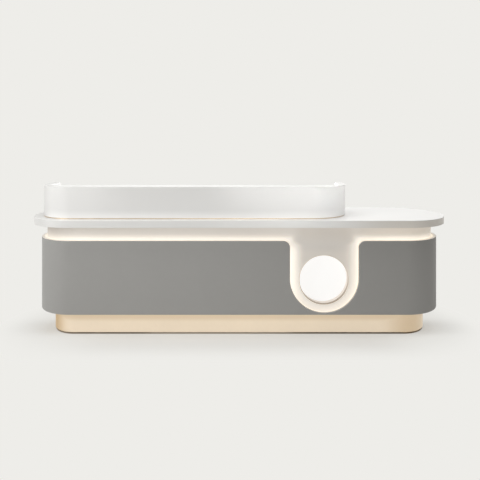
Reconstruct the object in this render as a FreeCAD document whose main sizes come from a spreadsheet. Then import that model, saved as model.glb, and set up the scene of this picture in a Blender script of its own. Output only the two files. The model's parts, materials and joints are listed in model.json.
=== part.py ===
import FreeCAD, Part
import math
import os
import Sketcher
from FreeCAD import Vector

# Racetrack reception desk with a raised screen, in millimetres.
# The guest side faces -Y, the staff side +Y, and the origin is on the floor under the middle.
SIZES = {
    # Worktop: a slab with full-round ends
    "desk_length": 2800,
    "desk_depth": 630,
    "worktop_height": 768,
    "worktop_thick": 46,
    "worktop_bevel": 2.5,
    # Shells that wrap the guest side and both ends
    "cladding_overhang": 48,
    "cladding_thick": 18,
    "cladding_bottom": 157,
    "cladding_top": 630,
    "light_gap": 16,
    "liner_thick": 18,
    "batten_height": 40,
    "batten_lift": 3,
    "batten_block": 20,
    # U-shaped cut-out in the front cladding
    "u_radius": 221,
    "u_strip": 11,
    "u_corner": 42,
    # Light strip behind the cladding's edge
    "led_setback": 1,
    "led_lens": 2,
    "led_channel": 7,
    # Round recessed lamp in the liner
    "lamp_radius": 159.5,
    "lamp_floor_gap": 15.5,
    "lamp_side_gap": 1,
    "lamp_recess": 63,
    "lamp_wall": 3,
    "lamp_ring": 2.5,
    "lamp_ring_proud": 1,
    "lamp_tab": 19.5,
    "lamp_tab_width": 30,
    "lamp_opal": 4,
    "lamp_ledge": 7,
    "lamp_back_room": 20,
    "lamp_board_side": 190,
    "lamp_board_thick": 2,
    "lamp_chip": 5,
    "lamp_chip_ring": 80,
    "service_gap": 10,
    # Plinth and feet
    "plinth_inset": 85,
    "plinth_skin": 3,
    "foot_height": 14,
    "foot_radius": 10.5,
    "foot_inset": 150,
    "foot_block": 60,
    "foot_block_height": 40,
    # Carcass
    "board": 18,
    "deck_thick": 18,
    "pedestal_width": 467,
    "cupboard_width": 699,
    "rail_height": 82,
    "cupboard_back_thick": 16,
    "shelf_thick": 18,
    "shelf_height": 262,
    "shelf_setback": 42,
    "support_width": 16,
    "support_height": 20,
    "support_reach": 12,
    "support_inset": 50,
    # Drawers
    "front_gap": 3,
    "front_bevel": 1,
    "top_drawer_height": 130,
    "middle_drawer_height": 180,
    "drawer_back_space": 40,
    "drawer_side": 12,
    "drawer_bottom": 6,
    "drawer_lift": 14,
    "drawer_drop": 26,
    "runner_space": 12.7,
    "runner_sheet": 1.5,
    "runner_height": 45,
    "runner_lift": 8,
    "runner_length": 400,
    "runner_front_gap": 4,
    # Doors on pivot pins
    "door_pivot_inset": 20,
    "pivot_radius": 4,
    "pivot_depth": 12,
    "pivot_clearance": 0.05,
    # Bar handles
    "handle_length": 160,
    "handle_bar": 10,
    "handle_bevel": 1.5,
    "handle_reach": 28,
    "handle_post": 8,
    "handle_post_inset": 16,
    "handle_edge": 32,
    # Raised screen on the worktop
    "hutch_inset": 60,
    "hutch_right": 731,
    "hutch_return": 112,
    "hutch_wall": 46,
    "hutch_top": 975,
    "hutch_edge": 2,
    "hutch_trim_height": 8,
    "hutch_trim_inset": 4,
    "hutch_trim_wall": 30,
    "ledge_depth": 150,
    "ledge_thick": 25,
    "divider_setback": 10,
    # Cable ways and electrics
    "grommet_radius": 30,
    "grommet_wall": 2.5,
    "grommet_lip": 6,
    "grommet_lip_thick": 3,
    "grommet_y": -40,
    "grommet_inset": 176,
    "tray_end_gap": 116,
    "tray_width": 100,
    "tray_depth": 80,
    "tray_sheet": 2,
    "tray_lip": 20,
    "driver_length": 180,
    "driver_depth": 32,
    "driver_height": 44,
    "switch_length": 50,
    "switch_depth": 40,
    "switch_height": 26,
    "switch_setback": 30,
    "button_side": 15,
    "button_proud": 4,
    "button_stroke": 3,
    "button_guide": 7,
    "bracket_leg": 32,
    "bracket_width": 40,
    "bracket_sheet": 3,
    "bracket_inset": 70,
    # Clearance of curved seats and sliding faces
    "fit_gap": 0.3,
}


class Size:
    """A length that knows its number and the sheet expression that gives it."""

    def __init__(self, number, text):
        self.number = number
        self.text = text

    def __add__(self, other):
        other = as_size(other)
        return Size(self.number + other.number, f"({self.text} + {other.text})")

    def __sub__(self, other):
        other = as_size(other)
        return Size(self.number - other.number, f"({self.text} - {other.text})")

    def __mul__(self, factor):
        factor = as_size(factor)
        return Size(self.number * factor.number, f"({self.text} * {factor.text})")

    def __truediv__(self, divisor):
        return self * (1 / divisor)

    def __neg__(self):
        return self * -1


def as_size(thing):
    if isinstance(thing, Size):
        return thing
    return Size(float(thing), f"({float(thing)})")


doc = FreeCAD.newDocument("reception_desk")
sheet = doc.addObject("Spreadsheet::Sheet", "Sizes")
for row, (name, number) in enumerate(SIZES.items(), start=1):
    sheet.set(f"A{row}", name)
    sheet.set(f"B{row}", str(number))
    sheet.setAlias(f"B{row}", name)
doc.recompute()

ZERO = as_size(0)
nodes = {}


def size(name):
    return Size(float(sheet.get(name)), f"Sizes.{name}")


def bind(item, **sizes):
    for prop, length in sizes.items():
        item.setExpression(prop, as_size(length).text)


def place(item, base, axis=Vector(0, 0, 1), angle=0):
    item.Placement = FreeCAD.Placement(Vector(0, 0, 0), FreeCAD.Rotation(axis, angle))
    for letter, length in zip("xyz", base):
        item.setExpression(f"Placement.Base.{letter}", as_size(length).text)


def keep(label, item):
    """Name a finished sub-part, which becomes a node of the assembly."""
    item.Label = label
    nodes[label] = item
    return item


def box(name, x, y, z):
    item = doc.addObject("Part::Box", name)
    bind(item, Length=x[1] - x[0], Width=y[1] - y[0], Height=z[1] - z[0])
    place(item, (x[0], y[0], z[0]))
    return item


def rod(name, base, radius, length, along="z"):
    """A round bar from base along +x, +y or +z."""
    turns = {"x": (Vector(0, 1, 0), 90), "y": (Vector(1, 0, 0), -90), "z": (Vector(0, 0, 1), 0)}
    item = doc.addObject("Part::Cylinder", name)
    bind(item, Radius=radius, Height=length)
    place(item, base, *turns[along])
    return item


def cut(name, base, tools):
    item = doc.addObject("Part::Cut", name)
    item.Base = base
    item.Tool = tools[0] if len(tools) == 1 else group(name + "_tools", tools)
    return item


def group(name, items):
    item = doc.addObject("Part::Compound", name)
    item.Links = items
    return item


def fuse(name, items):
    item = doc.addObject("Part::MultiFuse", name)
    item.Shapes = items
    return item


def half_tube(name, side, outer, inner, z):
    """A half-round shell around the left (-1) or right (+1) end of the desk."""
    walls = []
    for word, radius, angle in (("outer", outer, 180), ("bore", inner, 360)):
        wall = doc.addObject("Part::Cylinder", f"{name}_{word}")
        bind(wall, Radius=radius, Height=z[1] - z[0])
        wall.Angle = angle
        place(wall, (end_x * side, ZERO, z[0]), Vector(0, 0, 1), -90 * side)
        walls.append(wall)
    return cut(name, walls[0], walls[1:])


def both_ends(node, outer, inner, z):
    """The pair of half-round shells of one layer, left and right."""
    ends = []
    for word, side in (("left", -1), ("right", 1)):
        ends.append(half_tube(f"{node}_{word}", side, outer, inner, z))
    keep(node, group(node, ends))


def new_body(name, base):
    body = doc.addObject("PartDesign::Body", name)
    place(body, base)
    return body


def outline(body, role, corners, arcs=None):
    """Draw a closed outline. arcs maps a corner to the centre and turn (+1 left) of the arc leaving it."""
    arcs = arcs or {}
    sketch = body.newObject("Sketcher::SketchObject", body.Name + "_outline")
    plane = next(item for item in body.Origin.OriginFeatures if item.Role == role)
    sketch.AttachmentSupport = [(plane, "")]
    sketch.MapMode = "FlatFace"
    points = [Vector(as_size(x).number, as_size(y).number, 0) for x, y in corners]
    ends = []
    for index, start in enumerate(points):
        stop = points[(index + 1) % len(points)]
        if index not in arcs:
            sketch.addGeometry(Part.LineSegment(start, stop))
            ends.append((1, 2))
            continue
        (centre_x, centre_y), turn = arcs[index]
        centre = Vector(as_size(centre_x).number, as_size(centre_y).number, 0)
        first, last = (start, stop) if turn > 0 else (stop, start)
        angles = [math.atan2(point.y - centre.y, point.x - centre.x) for point in (first, last)]
        if angles[1] <= angles[0]:
            angles[1] += 2 * math.pi
        circle = Part.Circle(centre, Vector(0, 0, 1), (start - centre).Length)
        sketch.addGeometry(Part.ArcOfCircle(circle, *angles))
        ends.append((1, 2) if turn > 0 else (2, 1))
    for index in range(len(points)):
        following = (index + 1) % len(points)
        joined = Sketcher.Constraint("Coincident", index, ends[index][1], following, ends[following][0])
        sketch.addConstraint(joined)
    for index, (x, y) in enumerate(corners):
        dimension(sketch, "DistanceX", index, ends[index][0], x)
        dimension(sketch, "DistanceY", index, ends[index][0], y)
    for index, ((centre_x, centre_y), _) in arcs.items():
        chord = points[(index + 1) % len(points)] - points[index]
        if abs(chord.x) < abs(chord.y):
            dimension(sketch, "DistanceX", index, 3, centre_x)
        else:
            dimension(sketch, "DistanceY", index, 3, centre_y)
    return sketch


def dimension(sketch, kind, geometry, point, length):
    """Fix one coordinate of a sketch point, measured from the sketch's origin."""
    length = as_size(length)
    number = sketch.addConstraint(Sketcher.Constraint(kind, -1, 1, geometry, point, length.number))
    sketch.setExpression(f"Constraints[{number}]", length.text)


def pad(name, role, corners, depth, base, arcs=None, bevel=None):
    """Thicken an outline: up from an XY outline, towards -Y from an XZ one, towards +X from a YZ one."""
    body = new_body(name, base)
    sketch = outline(body, role, corners, arcs)
    feature = body.newObject("PartDesign::Pad", name + "_pad")
    feature.Profile = sketch
    bind(feature, Length=depth)
    if bevel:
        doc.recompute()
        eased = body.newObject("PartDesign::Chamfer", name + "_edges")
        eased.Base = (feature, [""])
        eased.UseAllEdges = True
        bind(eased, Size=bevel)
        body.Tip = eased
    return body


def slab(name, x, y, z, bevel):
    """A board with all its edges eased."""
    corners = [(ZERO, ZERO), (x[1] - x[0], ZERO), (x[1] - x[0], y[1] - y[0]), (ZERO, y[1] - y[0])]
    return pad(name, "XY_Plane", corners, z[1] - z[0], (x[0], y[0], z[0]), bevel=bevel)


def turned(name, role, corners, base):
    """Turn a profile through a full circle about its own upright axis."""
    body = new_body(name, base)
    sketch = outline(body, role, corners)
    feature = body.newObject("PartDesign::Revolution", name + "_turn")
    feature.Profile = sketch
    feature.ReferenceAxis = (sketch, ["V_Axis"])
    feature.Angle = 360
    return body


# Levels and faces that the pieces share
board = size("board")
fit = size("fit_gap")
top_r = size("desk_depth") / 2
end_x = size("desk_length") / 2 - top_r
clad_r = top_r - size("cladding_overhang")
clad_in = clad_r - size("cladding_thick")
liner_r = clad_in - size("light_gap")
liner_in = liner_r - size("liner_thick")
plinth_r = clad_r - size("plinth_inset")
frame_r = plinth_r - size("plinth_skin")
frame_in = frame_r - board
clad_low = size("cladding_bottom")
clad_top = size("cladding_top")
top_z = size("worktop_height")
under_top = top_z - size("worktop_thick")
floor_in = clad_low + size("deck_thick")
back_face = clad_r
front_back = back_face - board
gable_in = end_x - board
ped_left = -gable_in
ped_right = ped_left + size("pedestal_width")
knee_left = ped_right + board
cup_right = gable_in
cup_left = cup_right - size("cupboard_width")
knee_right = cup_left - board
knee_mid = (knee_left + knee_right) / 2
lamp_reach = size("lamp_radius") + size("lamp_wall") + size("lamp_tab")
u_x = cup_left + size("lamp_side_gap") + lamp_reach
u_z = clad_low + size("u_strip") + size("u_radius")
lamp_z = floor_in + size("lamp_floor_gap") + lamp_reach
opal_y = size("lamp_recess") - liner_r
lamp_back = opal_y + size("lamp_opal") + size("lamp_back_room")
cup_back = lamp_back + size("lamp_wall") + size("service_gap")
cup_inside = cup_back + size("cupboard_back_thick")
pivot_y = back_face - board / 2
pivot_edge = size("front_gap") + size("door_pivot_inset")
pivot_xs = {"left": cup_left + pivot_edge, "right": cup_right - pivot_edge}
pivot_hole = size("pivot_radius") + size("pivot_clearance")
grommet_out = size("grommet_radius") + size("grommet_wall")
port_xs = {"left": knee_left + size("grommet_inset"), "right": knee_right - size("grommet_inset")}
shelf_z = floor_in + size("shelf_height")


def make_worktop():
    corners = [(-end_x, -top_r), (end_x, -top_r), (end_x, top_r), (-end_x, top_r)]
    arcs = {1: ((end_x, ZERO), 1), 3: ((-end_x, ZERO), 1)}
    slab_base = (ZERO, ZERO, under_top)
    thick = size("worktop_thick")
    top = pad("worktop_slab", "XY_Plane", corners, thick, slab_base, arcs, size("worktop_bevel"))
    holes = []
    for word, x in port_xs.items():
        base = (x, size("grommet_y"), under_top)
        holes.append(rod(f"worktop_port_{word}", base, grommet_out + fit, thick))
    for side, x in pivot_xs.items():
        base = (x, pivot_y, under_top)
        holes.append(rod(f"worktop_pivot_hole_{side}", base, pivot_hole, size("pivot_depth")))
    keep("worktop", cut("worktop_drilled", top, holes))


def u_plate(name, grow, y_face, thick):
    """The front sheet with its U cut-out, drawn back from the visible edge by grow."""
    top = clad_top - grow
    radius = size("u_radius") + grow
    corner = size("u_corner") - grow
    right = u_x + radius
    left = u_x - radius
    corners = [
        (-end_x, clad_low),
        (end_x, clad_low),
        (end_x, top),
        (right + corner, top),
        (right, top - corner),
        (right, u_z),
        (left, u_z),
        (left, top - corner),
        (left - corner, top),
        (-end_x, top),
    ]
    arcs = {
        3: ((right + corner, top - corner), 1),
        5: ((u_x, u_z), -1),
        7: ((left - corner, top - corner), 1),
    }
    return pad(name, "XZ_Plane", corners, thick, (ZERO, y_face, ZERO), arcs)


def make_shells():
    keep("cladding_front", u_plate("cladding_front", ZERO, -clad_in, size("cladding_thick")))
    liner = box("liner_sheet", (-end_x, end_x), (-liner_r, -liner_in), (clad_low, under_top))
    hole_radius = size("lamp_radius") + size("lamp_ring") + fit
    hole = rod("liner_lamp_hole", (u_x, -liner_r, lamp_z), hole_radius, size("liner_thick"), "y")
    keep("liner_front", cut("liner_front", liner, [hole]))
    both_ends("cladding_ends", clad_r, clad_in, (clad_low, clad_top))
    both_ends("liner_ends", liner_r, liner_in, (clad_low, under_top))
    make_battens()


def make_battens():
    """Spacers that hold the cladding off the liner, clear of the U cut-out."""
    low = clad_low + size("batten_lift")
    z = (low, low + size("batten_height"))
    y = (-clad_in, -liner_r)
    reach = size("u_radius") + size("u_corner")
    pieces = [
        box("batten_front_left", (-end_x, u_x - reach), y, z),
        box("batten_front_right", (u_x + reach, end_x), y, z),
    ]
    deep = size("light_gap") - fit * 2
    half = size("batten_block") / 2
    for word, side in (("left", -1), ("right", 1)):
        for number, angle in enumerate((-45, 0, 45)):
            block = doc.addObject("Part::Box", f"batten_{word}_{number}")
            bind(block, Length=deep, Width=half * 2, Height=size("batten_height"))
            out = Vector(math.cos(math.radians(angle)) * side, math.sin(math.radians(angle)), 0)
            near = liner_r + fit
            x = end_x * side + near * out.x + half * out.y
            y = near * out.y - half * out.x
            place(block, (x, y, low), Vector(0, 0, 1), math.degrees(math.atan2(out.y, out.x)))
            pieces.append(block)
    keep("cladding_battens", group("cladding_battens", pieces))


def make_light_strips():
    """A channel and its lens follow the cladding's edge, the U cut-out and both round ends."""
    lens = size("led_setback")
    channel = lens + size("led_lens")
    back = channel + size("led_channel")
    for node, near, far in (("led_lens", lens, channel), ("led_channel", channel, back)):
        outer = u_plate(f"{node}_front_outer", near, -liner_r, size("light_gap"))
        inner = u_plate(f"{node}_front_inner", far, -liner_r, size("light_gap"))
        keep(f"{node}_front", cut(f"{node}_front", outer, [inner]))
        both_ends(f"{node}_ends", clad_in - fit, liner_r + fit, (clad_top - far, clad_top - near))


def make_lamp():
    """A round recess in the liner, with a luminous disc at its bottom."""
    base = (u_x, ZERO, lamp_z)
    bore = size("lamp_radius")
    wall = bore + size("lamp_wall")
    ring = bore + size("lamp_ring")
    bezel = [
        (bore, -liner_r - size("lamp_ring_proud")),
        (ring, -liner_r - size("lamp_ring_proud")),
        (ring, -liner_in),
        (bore, -liner_in),
    ]
    keep("lamp_bezel", turned("lamp_bezel", "XY_Plane", bezel, base))
    seat_y = opal_y + size("lamp_opal")
    ledge = bore - size("lamp_ledge")
    back_y = lamp_back + size("lamp_wall")
    cup = [
        (bore, -liner_in),
        (wall, -liner_in),
        (wall, back_y),
        (ZERO, back_y),
        (ZERO, lamp_back),
        (ledge, lamp_back),
        (ledge, seat_y),
        (bore, seat_y),
    ]
    housing = [turned("lamp_cup", "XY_Plane", cup, base)]
    near = bore + size("lamp_wall") / 2
    half = size("lamp_tab_width") / 2
    tab_y = (-liner_in, size("lamp_wall") - liner_in)
    for number, side in enumerate((-1, 1)):
        reach = (near, lamp_reach) if side > 0 else (-lamp_reach, -near)
        x = (u_x + reach[0], u_x + reach[1])
        z = (lamp_z + reach[0], lamp_z + reach[1])
        housing.append(box(f"lamp_side_tab_{number}", x, tab_y, (lamp_z - half, lamp_z + half)))
        housing.append(box(f"lamp_end_tab_{number}", (u_x - half, u_x + half), tab_y, z))
    keep("lamp_housing", fuse("lamp_housing", housing))
    disc = rod("lamp_opal", (u_x, opal_y, lamp_z), bore - fit, size("lamp_opal"), "y")
    keep("lamp_opal", disc)
    board_y = lamp_back - size("lamp_board_thick")
    chip = size("lamp_chip")
    side = size("lamp_board_side") / 2
    plate_x = (u_x - side, u_x + side)
    chips = [box("lamp_plate", plate_x, (board_y, lamp_back), (lamp_z - side, lamp_z + side))]
    for number in range(12):
        angle = number * math.pi / 6
        x = u_x + size("lamp_chip_ring") * math.cos(angle) - chip / 2
        z = lamp_z + size("lamp_chip_ring") * math.sin(angle) - chip / 2
        chips.append(box(f"lamp_chip_{number}", (x, x + chip), (board_y - chip / 2, board_y), (z, z + chip)))
    keep("lamp_board", group("lamp_board", chips))


def make_base():
    deck_z = (clad_low, floor_in)
    half_decks = {"left": (-end_x, knee_left, -1), "right": (knee_right, end_x, 1)}
    for word, (low, high, side) in half_decks.items():
        sheet_part = box(f"deck_{word}_sheet", (low, high), (-liner_in, back_face), deck_z)
        nose = doc.addObject("Part::Cylinder", f"deck_{word}_nose")
        bind(nose, Radius=liner_in - fit, Height=size("deck_thick"))
        nose.Angle = 180
        place(nose, (end_x * side, ZERO, clad_low), Vector(0, 0, 1), -90 * side)
        deck = fuse(f"deck_{word}_blank", [sheet_part, nose])
        if side > 0:
            holes = []
            for door, x in pivot_xs.items():
                hole_base = (x, pivot_y, floor_in - size("pivot_depth"))
                holes.append(rod(f"deck_pivot_hole_{door}", hole_base, pivot_hole, size("pivot_depth")))
            deck = cut(f"deck_{word}_drilled", deck, holes)
        keep(f"deck_{word}", deck)
    keep("front_sill", box("front_sill", (knee_left, knee_right), (-liner_in, -frame_in), deck_z))
    make_plinth()


def make_plinth():
    """A metal skin on a frame of boards, whose inner blocks carry the levelling feet."""
    z = (size("foot_height"), clad_low)
    keep("plinth_skin_front", box("plinth_skin_front", (-end_x, end_x), (-plinth_r, -frame_r), z))
    backs = [
        box("plinth_back_left", (-end_x, knee_left), (frame_r, plinth_r), z),
        box("plinth_back_right", (knee_right, end_x), (frame_r, plinth_r), z),
    ]
    keep("plinth_skin_back", group("plinth_skin_back", backs))
    both_ends("plinth_skin_ends", plinth_r, frame_r, z)
    across = (-frame_in, frame_in)
    frame = [
        box("plinth_board_front", (-end_x, end_x), (-frame_r, -frame_in), z),
        box("plinth_board_back_left", (-end_x, knee_left), (frame_in, frame_r), z),
        box("plinth_board_back_right", (knee_right, end_x), (frame_in, frame_r), z),
        box("plinth_board_left", (-end_x, -gable_in), across, z),
        box("plinth_board_knee_left", (ped_right, knee_left), across, z),
        box("plinth_board_knee_right", (knee_right, cup_left), across, z),
        box("plinth_board_right", (gable_in, end_x), across, z),
    ]
    block = size("foot_block")
    inset = size("foot_inset")
    foot_y = frame_in - block / 2
    foot_xs = (-end_x + inset, ped_right - block / 2, cup_left + block / 2, end_x - inset)
    stations = [(x, y) for y in (-foot_y, foot_y) for x in foot_xs]
    block_z = (z[0], z[0] + size("foot_block_height"))
    feet = []
    for number, (x, y) in enumerate(stations):
        block_x = (x - block / 2, x + block / 2)
        frame.append(box(f"foot_block_{number}", block_x, (y - block / 2, y + block / 2), block_z))
        foot = doc.addObject("Part::Prism", f"foot_{number}")
        foot.Polygon = 8
        bind(foot, Circumradius=size("foot_radius"), Height=size("foot_height"))
        place(foot, (x, y, ZERO))
        feet.append(foot)
    keep("plinth_frame", group("plinth_frame", frame))
    keep("levelling_feet", group("levelling_feet", feet))


def make_carcass():
    depth = (-liner_in, back_face)
    z = (floor_in, under_top)
    keep("gable_left", box("gable_left", (-end_x, ped_left), depth, z))
    keep("pedestal_side", box("pedestal_side", (ped_right, knee_left), depth, z))
    keep("cupboard_side", box("cupboard_side", (knee_right, cup_left), depth, z))
    keep("gable_right", box("gable_right", (cup_right, end_x), depth, z))
    rail_z = (under_top - size("rail_height"), under_top)
    keep("top_rail", box("top_rail", (knee_left, knee_right), (-liner_in, board - liner_in), rail_z))
    keep("cupboard_back", box("cupboard_back", (cup_left, cup_right), (cup_back, cup_inside), z))
    shelf_y = (cup_inside, front_back - size("shelf_setback"))
    shelf_top = shelf_z + size("shelf_thick")
    shelf = box("cupboard_shelf", (cup_left + fit, cup_right - fit), shelf_y, (shelf_z, shelf_top))
    keep("cupboard_shelf", shelf)
    half = size("support_width") / 2
    inset = size("support_inset")
    reach = size("support_reach")
    support_z = (shelf_z - size("support_height"), shelf_z)
    supports = []
    for word, x in (("left", (cup_left, cup_left + reach)), ("right", (cup_right - reach, cup_right))):
        for number, y in enumerate((shelf_y[0] + inset, shelf_y[1] - inset)):
            name = f"support_{word}_{number}"
            supports.append(box(name, x, (y - half, y + half), support_z))
    keep("shelf_supports", group("shelf_supports", supports))


def make_handle(node, centre, upright):
    """A square bar on two square posts, which stand on the front's outer face."""
    half = size("handle_length") / 2
    bar = size("handle_bar")
    reach = size("handle_reach")
    y = (back_face + reach, back_face + reach + bar)
    spread = half - size("handle_post_inset")
    x, z = centre
    if upright:
        span_x, span_z = (x - bar / 2, x + bar / 2), (z - half, z + half)
        posts = [(x, z - spread), (x, z + spread)]
    else:
        span_x, span_z = (x - half, x + half), (z - bar / 2, z + bar / 2)
        posts = [(x - spread, z), (x + spread, z)]
    pieces = [slab(f"{node}_bar", span_x, y, span_z, size("handle_bevel"))]
    for number, (post_x, post_z) in enumerate(posts):
        post = size("handle_post") / 2
        post_y = (back_face, back_face + reach)
        post_span = (post_z - post, post_z + post)
        pieces.append(box(f"{node}_post_{number}", (post_x - post, post_x + post), post_y, post_span))
    keep(node, group(node, pieces))


def make_drawers():
    gap = size("front_gap")
    high = under_top - gap
    middle_top = high - size("top_drawer_height") - gap
    bottom_top = middle_top - size("middle_drawer_height") - gap
    spans = {
        "top": (high - size("top_drawer_height"), high),
        "middle": (middle_top - size("middle_drawer_height"), middle_top),
        "bottom": (floor_in + gap, bottom_top),
    }
    rails = []
    for word, z in spans.items():
        rails.extend(make_drawer(f"drawer_{word}", z))
    keep("drawer_runners", group("drawer_runners", rails))


def make_drawer(node, z):
    """One drawer, and the pair of fixed channels that its runners slide in."""
    gap = size("front_gap")
    front_x = (ped_left + gap, ped_right - gap)
    keep(f"{node}_front", slab(f"{node}_front", front_x, (front_back, back_face), z, size("front_bevel")))
    make_handle(f"{node}_handle", ((ped_left + ped_right) / 2, (z[0] + z[1]) / 2), False)
    space = size("runner_space")
    side = size("drawer_side")
    out_x = (ped_left + space, ped_right - space)
    in_x = (out_x[0] + side, out_x[1] - side)
    box_y = (size("drawer_back_space") - liner_in, front_back)
    low = z[0] + size("drawer_lift")
    box_z = (low, z[1] - size("drawer_drop"))
    sides = [
        box(f"{node}_side_left", (out_x[0], in_x[0]), box_y, box_z),
        box(f"{node}_side_right", (in_x[1], out_x[1]), box_y, box_z),
        box(f"{node}_back", in_x, (box_y[0], box_y[0] + side), box_z),
        box(f"{node}_base", in_x, (box_y[0] + side, box_y[1]), (low, low + size("drawer_bottom"))),
    ]
    keep(f"{node}_box", group(f"{node}_box", sides))
    return make_runners(node, low + size("runner_lift"))


def make_runners(node, low):
    skin = size("runner_sheet")
    space = size("runner_space")
    tall = size("runner_height")
    front_y = front_back - size("runner_front_gap")
    length = size("runner_length")
    slide_y = (front_y - length, front_y)
    slide_z = (low + skin + fit, low + tall - skin - fit)
    slides = []
    rails = []
    for word, face, way in (("left", ped_left, 1), ("right", ped_right, -1)):
        lip = (space - fit * 2) * way
        web = skin * way
        channel = [
            (ZERO, ZERO),
            (lip, ZERO),
            (lip, skin),
            (web, skin),
            (web, tall - skin),
            (lip, tall - skin),
            (lip, tall),
            (ZERO, tall),
        ]
        rail = pad(f"{node}_rail_{word}", "XZ_Plane", channel, length, (face, front_y, low))
        rails.append(rail)
        near = face + web + fit * way
        far = face + space * way
        x = (near, far) if way > 0 else (far, near)
        slides.append(box(f"{node}_slide_{word}", x, slide_y, slide_z))
    keep(f"{node}_slides", group(f"{node}_slides", slides))
    return rails


def make_doors():
    gap = size("front_gap")
    middle = (cup_left + cup_right) / 2
    z = (floor_in + gap, under_top - gap)
    y = (front_back, back_face)
    spans = {"left": (cup_left + gap, middle - gap / 2), "right": (middle + gap / 2, cup_right - gap)}
    depth = size("pivot_depth")
    pins = []
    for word, x in spans.items():
        leaf = slab(f"door_{word}_leaf", x, y, z, size("front_bevel"))
        pivot_x = pivot_xs[word]
        bores = [
            rod(f"door_{word}_bore_low", (pivot_x, pivot_y, z[0]), pivot_hole, depth),
            rod(f"door_{word}_bore_high", (pivot_x, pivot_y, z[1] - depth), pivot_hole, depth),
        ]
        keep(f"door_{word}", cut(f"door_{word}", leaf, bores))
        grip = x[1] - size("handle_edge") if word == "left" else x[0] + size("handle_edge")
        make_handle(f"door_{word}_handle", (grip, z[1] - size("handle_length")), True)
        for end, low in (("low", floor_in - depth), ("high", z[1] - depth)):
            pin_base = (pivot_x, pivot_y, low)
            pins.append(rod(f"pivot_{word}_{end}", pin_base, size("pivot_radius"), depth * 2 + gap))
    keep("door_pivots", group("door_pivots", pins))


def hutch_plan(name, inset, z, edge=None):
    """The screen's plan as a filled slab, drawn in from its outer face by inset."""
    radius = top_r - size("hutch_inset") - inset
    right = size("hutch_right") - top_r + size("hutch_inset")
    back = size("hutch_return")
    corners = [
        (-end_x, -radius),
        (right, -radius),
        (right + radius, ZERO),
        (right + radius, back),
        (-end_x - radius, back),
        (-end_x - radius, ZERO),
    ]
    arcs = {1: ((right, ZERO), 1), 5: ((-end_x, ZERO), 1)}
    return pad(name, "XY_Plane", corners, z[1] - z[0], (ZERO, ZERO, z[0]), arcs, bevel=edge)


def make_hutch():
    wall = size("hutch_wall")
    wall_z = (top_z + size("hutch_trim_height"), size("hutch_top"))
    outer = hutch_plan("hutch_outer", ZERO, wall_z, size("hutch_edge"))
    hollow = hutch_plan("hutch_hollow", wall, wall_z)
    keep("hutch_wall", cut("hutch_wall", outer, [hollow]))
    trim_z = (top_z, top_z + size("hutch_trim_height"))
    trim_in = size("hutch_trim_inset")
    trim = hutch_plan("hutch_trim_outer", trim_in, trim_z)
    trim_hollow = hutch_plan("hutch_trim_hollow", trim_in + size("hutch_trim_wall"), trim_z)
    keep("hutch_trim", cut("hutch_trim", trim, [trim_hollow]))
    front = size("hutch_inset") - top_r
    ledge_back = front + size("ledge_depth")
    ledge_z = (size("hutch_top") - size("ledge_thick"), size("hutch_top"))
    filled = hutch_plan("ledge_filled", wall + fit, ledge_z)
    beyond = size("hutch_return") + fit
    behind = box("ledge_behind", (-end_x - top_r, end_x + top_r), (ledge_back, beyond), ledge_z)
    keep("hutch_ledge", cut("hutch_ledge", filled, [behind]))
    right = size("hutch_right") - top_r + size("hutch_inset")
    bay = (right + end_x) / 4
    divider_y = (front + wall, ledge_back - size("divider_setback"))
    dividers = []
    for number in (1, 2, 3):
        x = bay * number - end_x
        z = (top_z, ledge_z[0])
        dividers.append(box(f"divider_{number}", (x - board / 2, x + board / 2), divider_y, z))
    keep("hutch_dividers", group("hutch_dividers", dividers))


def make_cable_ways():
    lip = grommet_out + size("grommet_lip")
    lip_top = size("worktop_thick") + size("grommet_lip_thick")
    ring = [
        (size("grommet_radius"), ZERO),
        (grommet_out, ZERO),
        (grommet_out, size("worktop_thick")),
        (lip, size("worktop_thick")),
        (lip, lip_top),
        (size("grommet_radius"), lip_top),
    ]
    rings = []
    for word, x in port_xs.items():
        base = (x, size("grommet_y"), under_top)
        rings.append(turned(f"grommet_{word}", "XZ_Plane", ring, base))
    keep("grommets", group("grommets", rings))
    skin = size("tray_sheet")
    width = size("tray_width")
    deep = size("tray_depth")
    lip = size("tray_lip")
    flat = lip + width + lip
    channel = [
        (ZERO, -skin),
        (lip - skin, -skin),
        (lip - skin, -deep),
        (lip + width + skin, -deep),
        (lip + width + skin, -skin),
        (flat, -skin),
        (flat, ZERO),
        (lip + width, ZERO),
        (lip + width, skin - deep),
        (lip, skin - deep),
        (lip, ZERO),
        (ZERO, ZERO),
    ]
    tray_x = (knee_left + size("tray_end_gap"), knee_right - size("tray_end_gap"))
    start = (tray_x[0], size("grommet_y") - flat / 2, under_top)
    tray = pad("cable_tray", "YZ_Plane", channel, tray_x[1] - tray_x[0], start)
    keep("cable_tray", tray)
    driver_y = board - liner_in
    driver_x = (knee_mid - size("driver_length") / 2, knee_mid + size("driver_length") / 2)
    driver_low = under_top - size("rail_height")
    driver = slab(
        "led_driver",
        driver_x,
        (driver_y, driver_y + size("driver_depth")),
        (driver_low, driver_low + size("driver_height")),
        size("handle_bevel"),
    )
    keep("led_driver", driver)


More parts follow.
